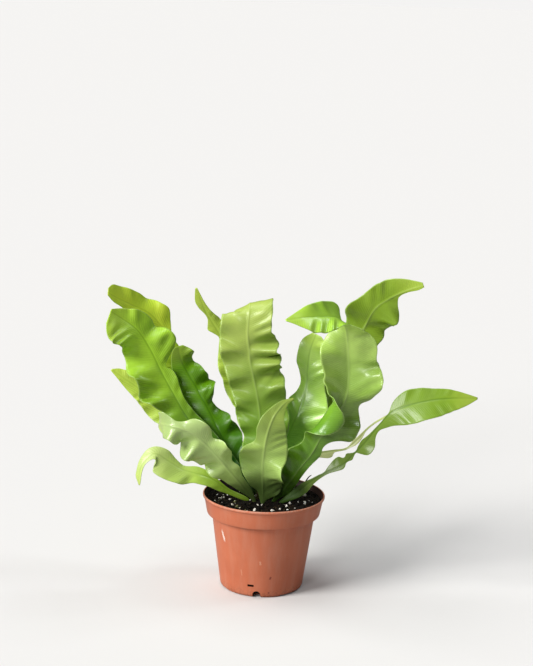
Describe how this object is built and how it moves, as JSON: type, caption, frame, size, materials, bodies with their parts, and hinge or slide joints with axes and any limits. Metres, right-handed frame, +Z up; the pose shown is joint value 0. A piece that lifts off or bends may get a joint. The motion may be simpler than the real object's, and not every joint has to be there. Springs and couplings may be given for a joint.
{
  "type": "potted fern",
  "caption": "Crinkled bird's-nest fern with long wavy strap fronds in a thin round nursery pot filled with soil.",
  "frame": {"origin": "centre of the pot's flat base, on the surface it stands on", "axes": "+Z up along the pot's axis, -Y towards the side seen in the picture, +X to its right"},
  "size_m": [0.3637, 0.1763, 0.3078],
  "materials": {
    "pot_plastic": "thin moulded terracotta-coloured plastic, satin with fine scuffs",
    "potting_soil": "dark crumbly potting soil with white perlite grains",
    "crown_scales": "dry brown scales",
    "leaf_pale": "living leaf, matte pale underside towards the front",
    "leaf_fresh": "living leaf, fresh yellow-green, satin to glossy",
    "leaf_deep": "living leaf, glossy mid-green upper side"
  },
  "bodies": {
    "root": {"pot": "pot_plastic", "soil": "potting_soil", "crown": "crown_scales", "frond_front": "leaf_pale", "frond_front_left": "leaf_pale", "frond_low_left": "leaf_fresh", "frond_left_tall": "leaf_fresh", "frond_left_inner": "leaf_deep", "frond_left_low_back": "leaf_fresh", "frond_left_back": "leaf_fresh", "frond_back_thin": "leaf_fresh", "frond_centre_tall": "leaf_pale", "frond_right_inner": "leaf_deep", "frond_right_hooded": "leaf_pale", "frond_right_back": "leaf_pale", "frond_right_long": "leaf_fresh", "frond_right_back_thin": "leaf_fresh"}
  },
  "joints": []
}
